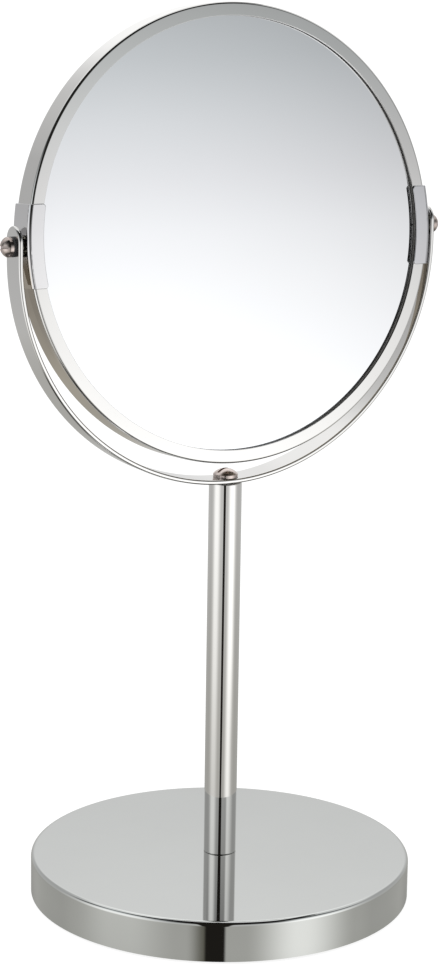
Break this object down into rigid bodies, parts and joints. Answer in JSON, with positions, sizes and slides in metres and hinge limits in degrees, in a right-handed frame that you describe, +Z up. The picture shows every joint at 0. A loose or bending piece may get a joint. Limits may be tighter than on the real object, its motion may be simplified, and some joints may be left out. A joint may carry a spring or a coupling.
{
  "type": "vanity mirror",
  "caption": "Round two-sided vanity mirror in a chromed hoop that tilts between screw pivots in a U-shaped yoke on a tube stem and weighted round base.",
  "frame": {"origin": "middle of the base on the floor, under the stem", "axes": "+Z up along the stem, +X along the pivot to the right, plain glass faces -Y"},
  "size_m": [0.1888, 0.149, 0.3466],
  "materials": {
    "chrome": "bright polished plating",
    "screw_nickel": "warm nickel plating, polished",
    "bush_steel": "turned and plated",
    "zinc_steel": "zinc plated",
    "black_nylon": "satin",
    "grey_iron": "as cast",
    "black_plastic": "moulded",
    "black_foam": "fine closed-cell foam",
    "silvered_glass": "polished, silvered on the back",
    "grey_card": "pressed grey card"
  },
  "bodies": {
    "stand": {"base_cover": "chrome", "base_weight": "grey_iron", "base_insert": "black_plastic", "base_pad": "black_foam", "base_bolt": "zinc_steel", "base_washer": "zinc_steel", "stem_tube": "chrome", "stem_lower_plug": "zinc_steel", "stem_upper_plug": "zinc_steel", "yoke": "chrome", "yoke_screw": "screw_nickel"},
    "mirror_head": {"hoop_upper": "chrome", "hoop_lower": "chrome", "plain_mirror": "silvered_glass", "magnifying_mirror": "silvered_glass", "mirror_spacer": "grey_card", "pivot_clip_left": "chrome", "pivot_bush_left": "bush_steel", "inner_washer_left": "black_nylon", "outer_washer_left": "black_nylon", "pivot_screw_left": "screw_nickel", "pivot_clip_right": "chrome", "pivot_bush_right": "bush_steel", "inner_washer_right": "black_nylon", "outer_washer_right": "black_nylon", "pivot_screw_right": "screw_nickel"}
  },
  "joints": [
    {"name": "mirror_tilt", "type": "hinge", "parent": "stand", "child": "mirror_head", "pos_m": [0, 0, 0.2606], "axis": [-1, 0, 0], "continuous": true}
  ]
}
